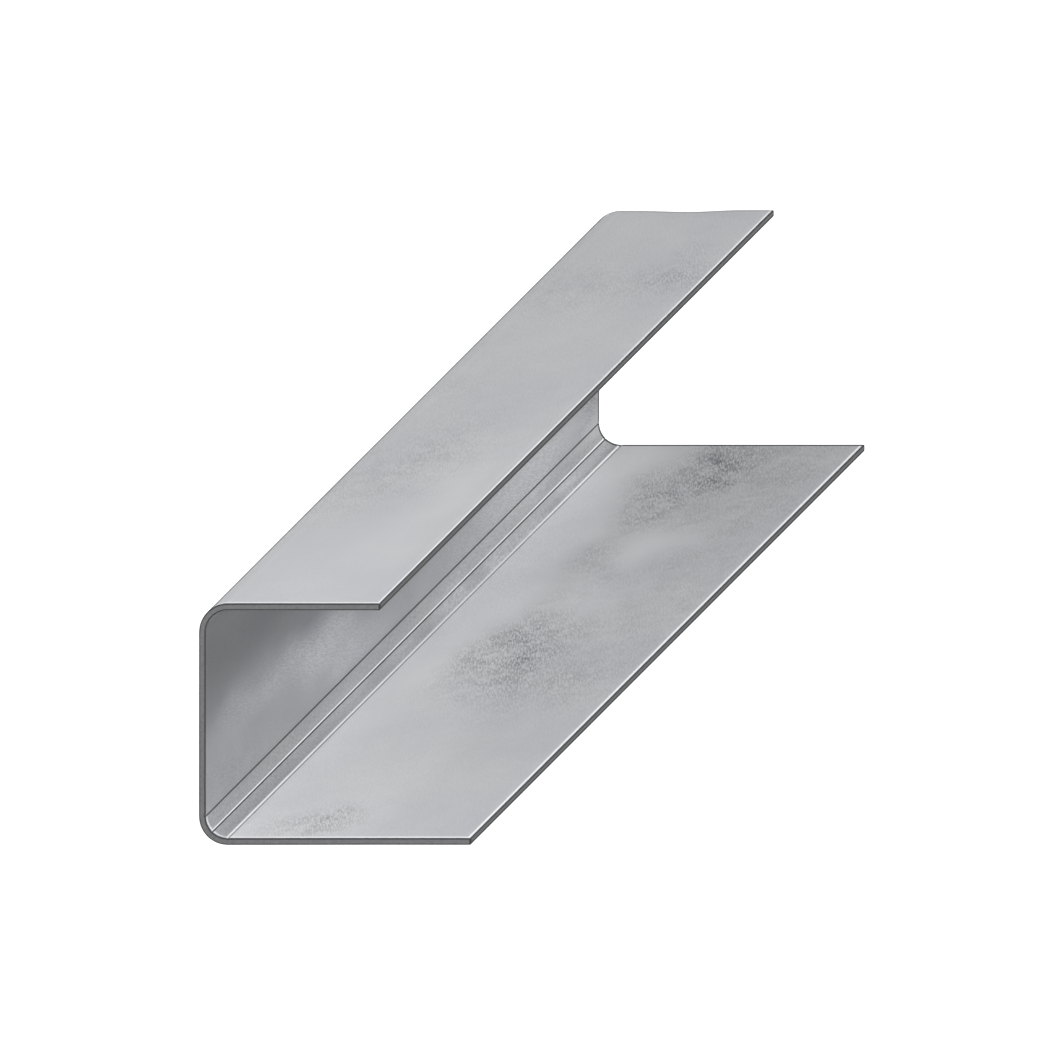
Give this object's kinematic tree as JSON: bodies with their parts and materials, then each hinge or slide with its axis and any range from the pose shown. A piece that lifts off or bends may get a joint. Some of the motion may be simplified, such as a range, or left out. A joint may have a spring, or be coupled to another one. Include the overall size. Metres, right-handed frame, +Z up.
{
  "type": "stud track",
  "caption": "Roll-formed galvanised steel framing channel with a long leg and a short leg, cut to a short length.",
  "frame": {"origin": "bottom centre of the track's box, on the surface that it rests on", "axes": "+X from the web towards the tips of the legs, +Y along the track, +Z up, with the long leg at the bottom"},
  "size_m": [0.0572, 0.1524, 0.0508],
  "materials": {
    "galvanised_steel": "galvanised, satin, with darker cut edges"
  },
  "bodies": {
    "root": {"stud_track": "galvanised_steel"}
  },
  "joints": []
}
